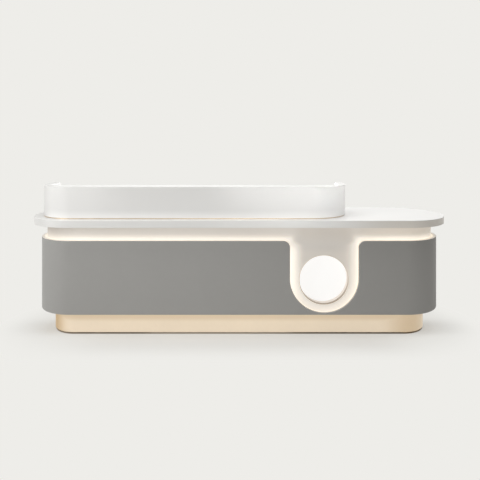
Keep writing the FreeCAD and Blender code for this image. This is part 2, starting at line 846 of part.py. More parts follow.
def make_switch():
    """A push button in a small box under the worktop's staff edge."""
    x = knee_right - size("bracket_inset") - size("switch_length")
    y_back = back_face - size("switch_setback")
    x_span = (x, x + size("switch_length"))
    z = (under_top - size("switch_height"), under_top)
    block = box("switch_block", x_span, (y_back - size("switch_depth"), y_back), z)
    depth = size("button_guide") + size("button_stroke") + fit
    mid_x = x + size("switch_length") / 2
    mid_z = (z[0] + z[1]) / 2
    half = size("button_side") / 2
    well = half + fit
    well_y = (y_back - depth, y_back)
    pocket = box("switch_well", (mid_x - well, mid_x + well), well_y, (mid_z - well, mid_z + well))
    keep("switch_housing", cut("switch_housing", block, [pocket]))
    button_y = (y_back - size("button_guide"), y_back + size("button_proud"))
    span_x = (mid_x - half, mid_x + half)
    span_z = (mid_z - half, mid_z + half)
    keep("light_button", slab("light_button", span_x, button_y, span_z, size("front_bevel")))


def make_brackets():
    """Angle brackets that hold the worktop to the knee-space walls."""
    leg = size("bracket_leg")
    skin = size("bracket_sheet")
    width = size("bracket_width")
    inset = size("bracket_inset")
    brackets = []
    for word, face, way in (("left", knee_left, 1), ("right", knee_right, -1)):
        profile = [
            (ZERO, ZERO),
            (leg * way, ZERO),
            (leg * way, -skin),
            (skin * way, -skin),
            (skin * way, -leg),
            (ZERO, -leg),
        ]
        for number, y in enumerate((-liner_in + board + inset, back_face - inset)):
            name = f"bracket_{word}_{number}"
            brackets.append(pad(name, "XZ_Plane", profile, width, (face, y + width / 2, under_top)))
    keep("worktop_brackets", group("worktop_brackets", brackets))


for make in (
    make_worktop,
    make_shells,
    make_light_strips,
    make_lamp,
    make_base,
    make_carcass,
    make_drawers,
    make_doors,
    make_hutch,
    make_cable_ways,
    make_switch,
    make_brackets,
):
    make()
doc.recompute()

for item in doc.Objects:
    if "Invalid" in item.State or "Error" in item.State:
        raise RuntimeError(f"{item.Label} failed to build")
for label, item in nodes.items():
    if item.Shape.isNull() or not item.Shape.isValid():
        raise RuntimeError(f"{label} has no valid shape")

os.makedirs("parts", exist_ok=True)
for label, item in nodes.items():
    item.Shape.exportStep(f"parts/{label}.step")
print(len(nodes), "pieces written")
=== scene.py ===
import json
import math

import bmesh
import bpy
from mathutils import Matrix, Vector


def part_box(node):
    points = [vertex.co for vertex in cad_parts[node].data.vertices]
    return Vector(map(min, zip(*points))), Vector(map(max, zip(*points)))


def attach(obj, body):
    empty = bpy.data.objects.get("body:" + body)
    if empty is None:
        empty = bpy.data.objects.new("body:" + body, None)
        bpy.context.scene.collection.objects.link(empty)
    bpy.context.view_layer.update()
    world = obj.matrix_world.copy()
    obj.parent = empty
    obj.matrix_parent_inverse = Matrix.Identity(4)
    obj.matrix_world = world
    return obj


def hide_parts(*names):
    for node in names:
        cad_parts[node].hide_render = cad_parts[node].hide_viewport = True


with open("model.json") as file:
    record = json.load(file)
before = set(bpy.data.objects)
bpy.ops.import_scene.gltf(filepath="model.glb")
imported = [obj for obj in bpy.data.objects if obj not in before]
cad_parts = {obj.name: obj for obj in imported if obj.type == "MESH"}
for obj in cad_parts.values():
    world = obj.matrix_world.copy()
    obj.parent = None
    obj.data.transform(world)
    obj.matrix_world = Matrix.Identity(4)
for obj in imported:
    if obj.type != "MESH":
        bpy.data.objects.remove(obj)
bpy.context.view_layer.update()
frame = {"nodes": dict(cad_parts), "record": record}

# Reception desk in metres: guests stand at -Y, staff sit at +Y, Z is up.

# Sizes read from the frame
worktop_low, worktop_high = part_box("worktop")
TOP_RADIUS = worktop_high.y
END_X = worktop_high.x - TOP_RADIUS
TOP_Z = worktop_high.z
UNDER_TOP = worktop_low.z
clad_low, clad_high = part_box("cladding_ends")
CLAD_RADIUS = clad_high.y
CLAD_BOTTOM = clad_low.z
CLAD_TOP = clad_high.z
CLAD_INSIDE = -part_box("cladding_front")[1].y
LINER_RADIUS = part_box("liner_ends")[1].y
LINER_INSIDE = -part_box("liner_front")[1].y
plinth_low, plinth_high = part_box("plinth_skin_ends")
PLINTH_RADIUS = plinth_high.y
PLINTH_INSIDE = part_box("plinth_skin_back")[0].y
KNEE_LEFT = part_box("pedestal_side")[1].x
KNEE_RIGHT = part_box("cupboard_side")[0].x
hutch_low, hutch_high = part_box("hutch_wall")
HUTCH_RADIUS = -hutch_low.y
trim_low, trim_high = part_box("hutch_trim")
opal_low, opal_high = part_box("lamp_opal")
lamp_centre = (opal_low + opal_high) / 2

# Sizes of outlines inside those boxes
U_RADIUS = 0.221
U_STRIP = 0.011
U_CORNER = 0.042
U_X = lamp_centre.x
U_Z = CLAD_BOTTOM + U_STRIP + U_RADIUS
U_SHOULDER = CLAD_TOP - U_CORNER
HUTCH_WALL = 0.046
TRIM_WALL = 0.030
PORT_LIP = 0.0057

# Thin trim
BEZEL_WIDTH = 0.0052
FLANGE_WIDTH = 0.0020
LIP_PROUD = 0.0004
HEM_DROP = 0.0018
HEM_ROLL = 0.0008
SCREEN_LAP = 0.002

# Rounding of edges: width and steps
WORKTOP_EASE = (0.0028, 4)
SCREEN_EASE = (0.0010, 3)
TRIM_EASE = (0.0008, 2)
CLADDING_EASE = (0.0015, 3)
PLINTH_EASE = (0.0003, 3)
RING_EASE = (0.0006, 2)
FRONT_EASE = (0.0008, 2)
BOARD_EASE = (0.0006, 2)

# Fineness of meshes
ARC_STEPS = 72
U_STEPS = 96
CORNER_STEPS = 16
ROLL_STEPS = 5
PORT_POINTS = 72
RING_POINTS = 144
FLOOR_POINTS = 96
SHARP_ANGLE = math.radians(30)
FLAT_ANGLE = math.radians(0.5)
JOIN_DISTANCE = 0.000001
WELD_DISTANCE = 0.000002

# Values that all finishes of a kind share
PEEL_HEIGHT = 0.0004
STROKE_HEIGHT = 0.0002
STROKE_STRENGTH = 0.08
METAL_CLOUDS = 3.0
METAL_DRIFT = 0.10
LENS_ROUGHNESS = (0.35, 0.5)

# Painted glow of the strip and the lamp on the lining: colours, widths, and shares of the full light
LED_COLOUR = (1.0, 0.93, 0.82, 1)
BOUNCE_COLOUR = (1.0, 0.84, 0.64, 1)
GLOW_WIDTHS = (0.050, 0.026)
LEFT_SPREAD = 1.42
GLOW_LEFT = 0.65
GLOW_RIGHT = 0.40
GLOW_FOOT = 0.31
GLOW_NECK = (0.36, 0.55)
GLOW_TURN = 0.13
GLOW_END = 0.45
HAZE_LEVELS = (0.03, 0.175)
HALO_LEVEL = 0.05
HALO_HEIGHT = 0.06

# Painted glow of the strip's light on the cladding's cut edge
EDGE_GLOW = 0.21
EDGE_SHARE_IN_U = 0.12

# Colours that finishes take in places, mostly painted shade and painted light
PLINTH_PAINTED_SHADE = (0.65, 0.46, 0.245)
PLINTH_SHADE_UNDER_DECK = 0.34
PLINTH_RIGHT_SHADE_SHARES = (0, 0.46, 0.06)
WORKTOP_EDGE_SHADE_LEFT = (0.745, 0.74, 0.725)
WORKTOP_EDGE_SHADE_MIDDLE = (0.915, 0.91, 0.895)
WORKTOP_EDGE_SHADE_RIGHT = (0.87, 0.825, 0.765)
EDGE_MIDDLE_RISE = (-0.35, 0.05)
EDGE_MIDDLE_FALL = (0.25, 0.68)
EDGE_RIGHT_START = 0.55
SCREEN_FOOT_PAINTED_LIGHT = (0.97, 0.965, 0.95)
SCREEN_LEFT_PAINTED_SHADE = (0.92, 0.92, 0.918)
RING_ABOVE = (0.74, 0.66, 0.57)
LENS_RIGHT = (0.90, 0.86, 0.80)
LINING_LEFT_SHADE = (0.70, 0.68, 0.66)
LINING_SHADE_UNDER_TOP = (0.92, 0.91, 0.895)
NICHE_MIDDLE = U_RADIUS * 0.55
CUT_EDGE_PALE_AND_LIT = (0.80, 0.77, 0.73)
CLADDING_RIGHT_SHADE = (0.85, 0.84, 0.83)
BLACK = (0, 0, 0, 1)

# Stage
BACKDROP = (0.855, 0.847, 0.815, 1)
FLOOR_COLOUR = (0.80, 0.795, 0.77, 1)
# Painted shade under the plinth's hem
FLOOR_HEM_SHADE_COLOUR = (0.60, 0.52, 0.43, 1)
FLOOR_RADIUS = 8.0
FLOOR_ROUGHNESS = 0.8
FLOOR_CLOUDS = 0.8
FLOOR_DRIFT = 0.01
SHADOW_SHARE = 0.45
SHADOW_REACH = PLINTH_RADIUS + 0.40
SHADOW_TURN = (-0.30, 0.14)
SHADOW_END_RISE = (-0.25, -0.11)
SHADOW_END_FALL = (-0.03, 0.13)
SHADOW_END_SHARES = (0.25, 0.51, 0.25)
ROOM_LIGHT = (1.0, 0.98, 0.945, 1)
ROOM_STRENGTH = 0.205

# The photograph's view, with its lens and sensor in millimetres
VIEW_PLACE = (0.0735, -3.223, 1.2446)
VIEW_LENS = 34.635
VIEW_SENSOR = 36.0
VIEW_SHIFT = (-0.0208, -0.1979)


# Node tools

def add_node(tree, kind, **settings):
    node = tree.nodes.new(kind)
    for name, setting in settings.items():
        setattr(node, name, setting)
    return node


def feed(tree, socket, source):
    """Link another socket to this one, or set it to a constant."""
    if isinstance(source, bpy.types.NodeSocket):
        tree.links.new(source, socket)
    else:
        socket.default_value = source


def math_node(tree, operation, *sides):
    """A Math node whose sides are numbers or sockets."""
    node = add_node(tree, "ShaderNodeMath", operation=operation)
    for socket, side in zip(node.inputs, sides):
        feed(tree, socket, side)
    return node.outputs[0]


def chain(tree, operation, first, *others):
    """One operation carried through several sides."""
    for other in others:
        first = math_node(tree, operation, first, other)
    return first


def mix_values(tree, factor, first, second):
    """A Mix node for values, with its factor and sides at sockets 0, 2 and 3."""
    node = add_node(tree, "ShaderNodeMix", data_type="FLOAT")
    for index, side in ((0, factor), (2, first), (3, second)):
        feed(tree, node.inputs[index], side)
    return node.outputs[0]


def colour_mix(tree, blend, factor, first, second):
    """A Mix node for colours, with its factor and sides at sockets 0, 6 and 7."""
    node = add_node(tree, "ShaderNodeMix", data_type="RGBA", blend_type=blend)
    for index, side in ((0, factor), (6, first), (7, second)):
        feed(tree, node.inputs[index], side)
    return node.outputs[2]


def distance(tree, first, second):
    """The length of a line that spans two values at right angles."""
    sides = add_node(tree, "ShaderNodeCombineXYZ")
    tree.links.new(first, sides.inputs["X"])
    tree.links.new(second, sides.inputs["Y"])
    length = add_node(tree, "ShaderNodeVectorMath", operation="LENGTH")
    tree.links.new(sides.outputs["Vector"], length.inputs[0])
    return length.outputs["Value"]


def ramp(tree, value, span, levels):
    """A smooth step between two levels while a value crosses a span."""
    step = add_node(tree, "ShaderNodeMapRange", interpolation_type="SMOOTHSTEP")
    for socket, number in zip(("From Min", "From Max", "To Min", "To Max"), (*span, *levels)):
        step.inputs[socket].default_value = number
    tree.links.new(value, step.inputs["Value"])
    return step.outputs["Result"]


def hump(tree, value, rise, fall, levels):
    """A smooth rise over one span and a fall over the next, from level to level."""
    before, top, after = levels
    rising = ramp(tree, value, rise, (before, top))
    falling = ramp(tree, value, fall, (top, after))
    return math_node(tree, "MINIMUM", rising, falling)


def noise(tree, scale, detail, stretch):
    """Noise over the object's own coordinates."""
    place = add_node(tree, "ShaderNodeTexCoord")
    squeeze = add_node(tree, "ShaderNodeMapping")
    squeeze.inputs["Scale"].default_value = stretch
    texture = add_node(tree, "ShaderNodeTexNoise")
    texture.inputs["Detail"].default_value = detail
    tree.links.new(place.outputs["Object"], squeeze.inputs["Vector"])
    tree.links.new(squeeze.outputs["Vector"], texture.inputs["Vector"])
    tree.links.new(scale, texture.inputs["Scale"])
    return texture.outputs["Fac"]


def two_noises(tree, scale, ratio, details, share, squeezes=(1, 1)):
    """Coarse noise with finer noise in it; share is the coarse one's part, and squeezes draw both out."""
    scales = (scale, math_node(tree, "MULTIPLY", scale, ratio))
    parts = (share, 1 - share)
    layers = []
    for layer_scale, detail, squeeze, part in zip(scales, details, squeezes, parts):
        layer = noise(tree, layer_scale, detail, (squeeze, squeeze, 1))
        layers.append(math_node(tree, "MULTIPLY", layer, part))
    return math_node(tree, "ADD", *layers)


# Shader groups: effects that several finishes share

def new_group(name, inputs, outputs):
    """A shader group with float or colour sockets; returns the tree and its two end nodes."""
    tree = bpy.data.node_groups.new(name, "ShaderNodeTree")
    kinds = {"value": "NodeSocketFloat", "colour": "NodeSocketColor"}
    for socket, kind in inputs.items():
        tree.interface.new_socket(name=socket, in_out="INPUT", socket_type=kinds[kind])
    for socket, kind in outputs.items():
        tree.interface.new_socket(name=socket, in_out="OUTPUT", socket_type=kinds[kind])
    return tree, tree.nodes.new("NodeGroupInput"), tree.nodes.new("NodeGroupOutput")


def make_mottle():
    """Soft clouds in a sprayed coat: the colour drifts a little, and Tone drives the gloss."""
    tree, start, end = new_group(
        "sprayed_mottle",
        {"Colour": "colour", "Cloud Scale": "value", "Depth": "value"},
        {"Colour": "colour", "Tone": "value"},
    )
    tone = two_noises(tree, start.outputs["Cloud Scale"], ratio=14.0, details=(3.0, 2.0), share=0.7)
    swing = math_node(tree, "MULTIPLY", math_node(tree, "SUBTRACT", tone, 0.5), start.outputs["Depth"])
    level = math_node(tree, "ADD", swing, 1.0)
    grey = add_node(tree, "ShaderNodeCombineColor")
    for socket in grey.inputs:
        tree.links.new(level, socket)
    tinted = colour_mix(tree, "MULTIPLY", 1.0, start.outputs["Colour"], grey.outputs["Color"])
    tree.links.new(tinted, end.inputs["Colour"])
    tree.links.new(tone, end.inputs["Tone"])
    return tree


def make_peel():
    """The fine orange-peel relief of a sprayed or moulded surface."""
    tree, start, end = new_group("orange_peel", {"Grain Scale": "value"}, {"Height": "value"})
    height = two_noises(tree, start.outputs["Grain Scale"], ratio=3.1, details=(1.0, 2.0), share=0.65)
    tree.links.new(height, end.inputs["Height"])
    return tree


def make_brushing():
    """Long fine strokes along the sheet, as on satin metal."""
    tree, start, end = new_group("brushed_strokes", {"Stroke Scale": "value"}, {"Stroke": "value"})
    scale = start.outputs["Stroke Scale"]
    stroke = two_noises(tree, scale, ratio=2.7, details=(2.0, 1.0), share=0.6, squeezes=(0.02, 0.06))
    tree.links.new(stroke, end.inputs["Stroke"])
    return tree


def make_reach():
    """A point's place on the desk, and its Reach from the line between the centres of the round ends."""
    names = ("Reach", "Past End", "Side", "Depth", "Height")
    tree, _, end = new_group("racetrack_reach", {}, dict.fromkeys(names, "value"))
    place = add_node(tree, "ShaderNodeTexCoord")
    split = add_node(tree, "ShaderNodeSeparateXYZ")
    tree.links.new(place.outputs["Object"], split.inputs["Vector"])
    side, depth, height = split.outputs
    past_end = math_node(tree, "SUBTRACT", math_node(tree, "ABSOLUTE", side), END_X)
    reach = distance(tree, math_node(tree, "MAXIMUM", past_end, 0.0), depth)
    for name, value in zip(names, (reach, past_end, side, depth, height)):
        tree.links.new(value, end.inputs[name])
    return tree


mottle_group = make_mottle()
peel_group = make_peel()
brushing_group = make_brushing()
reach_group = make_reach()


def place_group(tree, group, **values):
    node = add_node(tree, "ShaderNodeGroup", node_tree=group)
    for name, value in values.items():
        node.inputs[name.replace("_", " ")].default_value = value
    return node.outputs


# Kinds of finish

def new_finish(name):
    """An empty material with its Principled shader; returns the material, its tree and the shader."""
    material = bpy.data.materials.new(name)
    material.use_nodes = True
    tree = material.node_tree
    tree.nodes.clear()
    shader = add_node(tree, "ShaderNodeBsdfPrincipled")
    output = add_node(tree, "ShaderNodeOutputMaterial")
    tree.links.new(shader.outputs["BSDF"], output.inputs["Surface"])
    return material, tree, shader


def gloss_range(tree, shader, mask, low, high):
    """Roughness that follows a mask between two values."""
    spread = add_node(tree, "ShaderNodeMapRange")
    spread.inputs["To Min"].default_value = low
    spread.inputs["To Max"].default_value = high
    tree.links.new(mask, spread.inputs["Value"])
    tree.links.new(spread.outputs["Result"], shader.inputs["Roughness"])


def relief(tree, shader, height, strength, depth):
    bump = add_node(tree, "ShaderNodeBump")
    bump.inputs["Strength"].default_value = strength
    bump.inputs["Distance"].default_value = depth
    tree.links.new(height, bump.inputs["Height"])
    tree.links.new(bump.outputs["Normal"], shader.inputs["Normal"])


def sprayed(name, colour, roughness, clouds, drift, grain, strength):
    """A painted, lacquered or moulded finish."""
    material, tree, shader = new_finish(name)
    mottle = place_group(tree, mottle_group, Colour=(*colour, 1), Cloud_Scale=clouds, Depth=drift)
    tree.links.new(mottle["Colour"], shader.inputs["Base Color"])
    gloss_range(tree, shader, mottle["Tone"], *roughness)
    peel = place_group(tree, peel_group, Grain_Scale=grain)
    relief(tree, shader, peel["Height"], strength, PEEL_HEIGHT)
    return material


def metal(name, colour, roughness, strokes, metallic):
    """Satin sheet or drawn metal with strokes along its length."""
    material, tree, shader = new_finish(name)
    clouds = {"Colour": (*colour, 1), "Cloud_Scale": METAL_CLOUDS, "Depth": METAL_DRIFT}
    mottle = place_group(tree, mottle_group, **clouds)
    tree.links.new(mottle["Colour"], shader.inputs["Base Color"])
    brushing = place_group(tree, brushing_group, Stroke_Scale=strokes)
    gloss_range(tree, shader, brushing["Stroke"], *roughness)
    relief(tree, shader, brushing["Stroke"], STROKE_STRENGTH, STROKE_HEIGHT)
    shader.inputs["Metallic"].default_value = metallic
    return material


def luminous(name, colour, glow, strength, clouds, drift):
    """A translucent lens or disc that gives light."""
    material, tree, shader = new_finish(name)
    shader.inputs["Base Color"].default_value = (*colour, 1)
    mottle = place_group(tree, mottle_group, Colour=(*glow, 1), Cloud_Scale=clouds, Depth=drift)
    gloss_range(tree, shader, mottle["Tone"], *LENS_ROUGHNESS)
    give_light(material, mottle["Colour"], strength)
    return material


def shader_of(material):
    return next(node for node in material.node_tree.nodes if node.bl_idname == "ShaderNodeBsdfPrincipled")


def give_light(material, colour, strength):
    """Let a finish give light in a colour that varies over it."""
    shader = shader_of(material)
    material.node_tree.links.new(colour, shader.inputs["Emission Color"])
    shader.inputs["Emission Strength"].default_value = strength


def retone(material, mask, blend, colour, socket="Base Color"):
    """Mix a second colour into a finish where the mask says so."""
    tree = material.node_tree
    target = shader_of(material).inputs[socket]
    first = target.links[0].from_socket
    tree.links.new(colour_mix(tree, blend, mask, first, (*colour, 1)), target)


# Finishes, by name. Sprayed: colour, roughness, scale and drift of the clouds, grain, strength of relief
WHITE = (0.83, 0.825, 0.812)
LACQUER = (WHITE, (0.32, 0.42), 2.2, 0.03, 900.0, 0.06)
SPRAYED = {
    "white_lacquer": LACQUER,
    "worktop_lacquer": LACQUER,
    "screen_lacquer": LACQUER,
    "lit_lining": ((0.83, 0.79, 0.745), (0.38, 0.48), 2.2, 0.03, 900.0, 0.06),
    "grey_paint": ((0.352, 0.347, 0.336), (0.44, 0.56), 2.6, 0.10, 700.0, 0.10),
    "carcass_board": ((0.78, 0.77, 0.75), (0.45, 0.60), 6.0, 0.05, 420.0, 0.14),
    "white_enamel": (WHITE, (0.30, 0.42), 3.0, 0.03, 1100.0, 0.10),
    "dark_plastic": ((0.10, 0.098, 0.095), (0.42, 0.60), 8.0, 0.20, 1300.0, 0.22),
    "grey_plastic": ((0.58, 0.58, 0.57), (0.40, 0.55), 8.0, 0.08, 1300.0, 0.18),
    "circuit_board": ((0.82, 0.83, 0.81), (0.35, 0.50), 9.0, 0.05, 800.0, 0.08),
}
# Metal: colour, roughness, scale of the strokes, metallic share
METAL = {
    "champagne_metal": ((0.95, 0.80, 0.615), (0.42, 0.52), 420.0, 0.5),
    "plinth_sheet": ((0.955, 0.818, 0.65), (0.42, 0.52), 420.0, 0.72),
    "dark_gold": ((0.62, 0.50, 0.37), (0.30, 0.40), 420.0, 1.0),
    "ring_metal": ((0.40, 0.33, 0.255), (0.34, 0.44), 420.0, 1.0),
    "zinc_steel": ((0.62, 0.63, 0.64), (0.32, 0.48), 500.0, 1.0),
    "channel_aluminium": ((0.76, 0.76, 0.76), (0.35, 0.46), 600.0, 1.0),
}
# Luminous: colour unlit, colour of the light, its strength, scale and drift of the clouds
LUMINOUS = {
    "light_lens": ((0.36, 0.34, 0.31), (1.0, 0.89, 0.74), 0.70, 60.0, 0.06),
    "opal_disc": ((0.25, 0.25, 0.25), (1.0, 0.99, 0.97), 0.80, 5.0, 0.02),
    # The lamp housing's enamel gives a faint painted glow of the disc's light.
    "lit_enamel": ((0.80, 0.74, 0.68), (1.0, 0.86, 0.72), 0.10, 5.0, 0.05),
}
finishes = {}
for make_kind, looks in ((sprayed, SPRAYED), (metal, METAL), (luminous, LUMINOUS)):
    for name, look in looks.items():
        finishes[name] = make_kind(name, *look)


# Painted shade and painted light that follow the desk's shape

def on_shape(material):
    """A finish's tree, and the outputs in it that tell where a point of the desk is."""
    tree = material.node_tree
    return tree, place_group(tree, reach_group)


def shade_plinth_painted(material):
    """Painted shade on the plinth's sheet: a deeper, warmer colour under the overhang, and painted darker
    reflections round both ends.
    """
    tree, shape = on_shape(material)
    deck_span = (plinth_high.z - 0.079, plinth_high.z - 0.045)
    under_deck_shade = ramp(tree, shape["Height"], deck_span, (0, PLINTH_SHADE_UNDER_DECK))
    left_end_shade = ramp(tree, shape["Side"], (-END_X - 0.165, -END_X - 0.025), (1, 0))
    turn_span = (END_X - 0.16, END_X + 0.03)
    end_span = (END_X + 0.06, END_X + PLINTH_RADIUS)
    right_end_shade = hump(tree, shape["Side"], turn_span, end_span, PLINTH_RIGHT_SHADE_SHARES)
    retone(material, chain(tree, "MAXIMUM", under_deck_shade, left_end_shade, right_end_shade), "MIX", PLINTH_PAINTED_SHADE)


def shade_worktop_edge(material):
    """Painted shade on the worktop's edge along the desk: darker at the left end, a little darker in the
    middle, and darker and warmer at the right.
    """
    tree, shape = on_shape(material)
    side = shape["Side"]
    on_side = ramp(tree, shape["Reach"], (TOP_RADIUS - 0.006, TOP_RADIUS - 0.003), (0, 1))
    below_top = ramp(tree, shape["Height"], (TOP_Z - 0.004, TOP_Z - 0.002), (1, 0))
    edge = math_node(tree, "MULTIPLY", on_side, below_top)
    left_end_shade = ramp(tree, side, (-END_X - 0.20, -END_X - 0.09), (1, 0))
    middle = hump(tree, side, EDGE_MIDDLE_RISE, EDGE_MIDDLE_FALL, (0, 1, 0))
    right_end_shade = ramp(tree, side, (EDGE_RIGHT_START, END_X), (0, 1))
    for mask, tone in (
        (left_end_shade, WORKTOP_EDGE_SHADE_LEFT),
        (middle, WORKTOP_EDGE_SHADE_MIDDLE),
        (right_end_shade, WORKTOP_EDGE_SHADE_RIGHT),
    ):
        retone(material, math_node(tree, "MULTIPLY", edge, mask), "MIX", tone)


def paint_screen_light_and_shade(material):
    """Painted light along the screen's foot, where the worktop throws light back, and painted shade towards
    its left end.
    """
    tree, shape = on_shape(material)
    foot = ramp(tree, shape["Height"], (hutch_low.z - 0.003, hutch_low.z + 0.055), (1, 0))
    front = ramp(tree, shape["Depth"], (-HUTCH_RADIUS + 0.004, -HUTCH_RADIUS / 2), (1, 0))
    retone(material, math_node(tree, "MULTIPLY", foot, front), "MIX", SCREEN_FOOT_PAINTED_LIGHT)
    left_end_shade = ramp(tree, shape["Side"], (-END_X - 0.22, -END_X - 0.12), (1, 0))
    retone(material, left_end_shade, "MULTIPLY", SCREEN_LEFT_PAINTED_SHADE)


def tone_ring(material):
    """The lamp's ring is brighter above, where the lining's light falls on it."""
    tree, shape = on_shape(material)
    above = ramp(tree, shape["Height"], (lamp_centre.z - 0.14, lamp_centre.z + 0.06), (0, 1))
    retone(material, above, "MIX", RING_ABOVE)


def tone_lens(material):
    """The strip's lens is a little warmer on the right of the U."""
    tree, shape = on_shape(material)
    right = ramp(tree, shape["Side"], (U_X, U_X + U_RADIUS), (0, 1))
    retone(material, right, "MULTIPLY", LENS_RIGHT, "Emission Color")


def paint_cladding_glow_and_shade(material):
    """The cladding's cut edges are paler, partly in their own colour and partly as painted light, and carry
    a painted glow of the strip's light, both strongest along the top; painted shade darkens its right end.
    """
    tree, shape = on_shape(material)
    inside = ramp(tree, shape["Reach"], (CLAD_RADIUS - 0.0016, CLAD_RADIUS - 0.0006), (1, 0))
    above = ramp(tree, shape["Height"], (CLAD_BOTTOM + 0.004, CLAD_BOTTOM + 0.006), (0, 1))
    share = ramp(tree, shape["Height"], (U_SHOULDER, CLAD_TOP), (EDGE_SHARE_IN_U, 1))
    edge = chain(tree, "MULTIPLY", inside, above, share)
    retone(material, edge, "MIX", CUT_EDGE_PALE_AND_LIT)
    give_light(material, colour_mix(tree, "MIX", edge, BLACK, LED_COLOUR), EDGE_GLOW)
    right_end_shade = ramp(tree, shape["Side"], (END_X + 0.08, END_X + 0.24), (0, 1))
    retone(material, right_end_shade, "MULTIPLY", CLADDING_RIGHT_SHADE)


def strip_glow(tree, side, across, height):
    """The strip's light painted on the lining as a glow, which falls off in a bell from the cladding's edge
    inward.
    """
    below = math_node(tree, "MINIMUM", math_node(tree, "SUBTRACT", height, U_Z), 0.0)
    inside_u = math_node(tree, "SUBTRACT", U_RADIUS, distance(tree, across, below))
    above_top = math_node(tree, "SUBTRACT", height, CLAD_TOP)
    inward = math_node(tree, "SMOOTH_MAX", inside_u, above_top, U_CORNER)
    width = ramp(tree, height, (U_SHOULDER, CLAD_TOP), GLOW_WIDTHS)
    wider_left = ramp(tree, across, (-U_RADIUS, -U_RADIUS / 2), (LEFT_SPREAD, 1))
    in_u = ramp(tree, height, (U_SHOULDER, CLAD_TOP), (1, 0))
    width = math_node(tree, "MULTIPLY", width, mix_values(tree, in_u, 1.0, wider_left))
    steps = math_node(tree, "DIVIDE", math_node(tree, "MAXIMUM", inward, 0.0), width)
    bell = math_node(tree, "EXPONENT", chain(tree, "MULTIPLY", steps, steps, -1.0))
    u_sides = ramp(tree, across, (-U_RADIUS, U_RADIUS), (GLOW_LEFT, GLOW_RIGHT))
    above_foot = ramp(tree, height, (CLAD_BOTTOM, U_Z), (0, 1))
    u_share = mix_values(tree, above_foot, GLOW_FOOT, u_sides)
    neck_share = ramp(tree, side, (U_X, END_X), GLOW_NECK)
    below_neck = ramp(tree, height, (U_SHOULDER - U_CORNER, CLAD_TOP), (1, 0))
    return math_node(tree, "MULTIPLY", bell, mix_values(tree, below_neck, neck_share, u_share))


def paint_lining_glow_and_shade(material):
    """Painted glow on the lining behind the cladding: the strip's wash, a faint haze and the lamp's halo;
    painted shade darkens its left end and the U's upper middle under the worktop.
    """
    tree, shape = on_shape(material)
    side = shape["Side"]
    height = shape["Height"]
    across = math_node(tree, "SUBTRACT", side, U_X)
    outside = ramp(tree, shape["Reach"], (LINER_INSIDE + 0.001, LINER_INSIDE + 0.006), (0, 1))
    turned = ramp(tree, shape["Past End"], (GLOW_TURN, LINER_RADIUS), (1, GLOW_END))
    glow = chain(tree, "MULTIPLY", strip_glow(tree, side, across, height), outside, turned)
    haze = ramp(tree, side, (U_X, END_X), HAZE_LEVELS)
    halo = ramp(tree, height, (opal_high.z + HALO_HEIGHT, opal_high.z), (0, HALO_LEVEL))
    haze = math_node(tree, "MULTIPLY", math_node(tree, "ADD", haze, halo), outside)
    bounce = colour_mix(tree, "MIX", haze, BLACK, BOUNCE_COLOUR)
    give_light(material, colour_mix(tree, "MIX", glow, bounce, LED_COLOUR), 1.0)
    left_end_shade = ramp(tree, side, (-END_X - 0.17, -END_X + 0.06), (1, 0))
    retone(material, left_end_shade, "MULTIPLY", LINING_LEFT_SHADE)
    in_u = ramp(tree, math_node(tree, "ABSOLUTE", across), (NICHE_MIDDLE, U_RADIUS), (1, 0))
    under_top = ramp(tree, height, (U_SHOULDER, CLAD_TOP + 0.05), (0, 1))
    retone(material, math_node(tree, "MULTIPLY", in_u, under_top), "MULTIPLY", LINING_SHADE_UNDER_TOP)


shade_plinth_painted(finishes["plinth_sheet"])
shade_worktop_edge(finishes["worktop_lacquer"])
paint_screen_light_and_shade(finishes["screen_lacquer"])
tone_ring(finishes["ring_metal"])
tone_lens(finishes["light_lens"])
paint_cladding_glow_and_shade(finishes["grey_paint"])
paint_lining_glow_and_shade(finishes["lit_lining"])


# Finishes on the CAD nodes: by the record's slot, or one of the node's own
OWN_FINISH = {
    "worktop": "worktop_lacquer",
    "liner_front": "lit_lining",
    "liner_ends": "lit_lining",
    "plinth_skin_front": "plinth_sheet",
    "plinth_skin_ends": "plinth_sheet",
    "plinth_skin_back": "plinth_sheet",
    "hutch_wall": "screen_lacquer",
    "hutch_trim": "dark_gold",
    "lamp_housing": "lit_enamel",
    "lamp_bezel": "ring_metal",
}
slot_of = {part["node"]: part["material_slot"] for part in frame["record"]["subparts"]}
body_of = {}
for body, nodes in frame["record"]["behaviour"]["bodies"].items():
    body_of.update(dict.fromkeys(nodes, body))


def finish_of(node):
    return finishes[OWN_FINISH.get(node, slot_of[node])]


for node, solid in frame["nodes"].items():
    solid.data.materials.clear()
    solid.data.materials.append(finish_of(node))


# Mesh tools

def add_piece(name, mesh, nodes, ease):
    """Show a finished mesh in place of CAD nodes, with its sharp edges rounded."""
    bmesh.ops.recalc_face_normals(mesh, faces=mesh.faces)
    data = bpy.data.meshes.new(name)
    mesh.to_mesh(data)
    mesh.free()
    data.polygons.foreach_set("use_smooth", [True] * len(data.polygons))
    data.materials.append(finish_of(nodes[0]))
    piece = bpy.data.objects.new(name, data)
    bpy.context.scene.collection.objects.link(piece)
    rounding = piece.modifiers.new("eased_edges", "BEVEL")
    rounding.width, rounding.segments = ease
    rounding.limit_method = "ANGLE"
    rounding.angle_limit = SHARP_ANGLE
    rounding.harden_normals = True
    seam = piece.modifiers.new("joined_points", "WELD")
    seam.merge_threshold = WELD_DISTANCE
    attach(piece, body_of[nodes[0]])
    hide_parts(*nodes)
    return piece


def arc(centre, radius, start, stop, steps=ARC_STEPS):
    """Points along an arc, with its angles in degrees."""
    points = []
    for step in range(steps + 1):
        angle = math.radians(start + (stop - start) * step / steps)
        points.append((centre[0] + radius * math.cos(angle), centre[1] + radius * math.sin(angle)))
    return points


def circle(centre, radius, count):
    return arc(centre, radius, 0, 360 - 360 / count, count - 1)


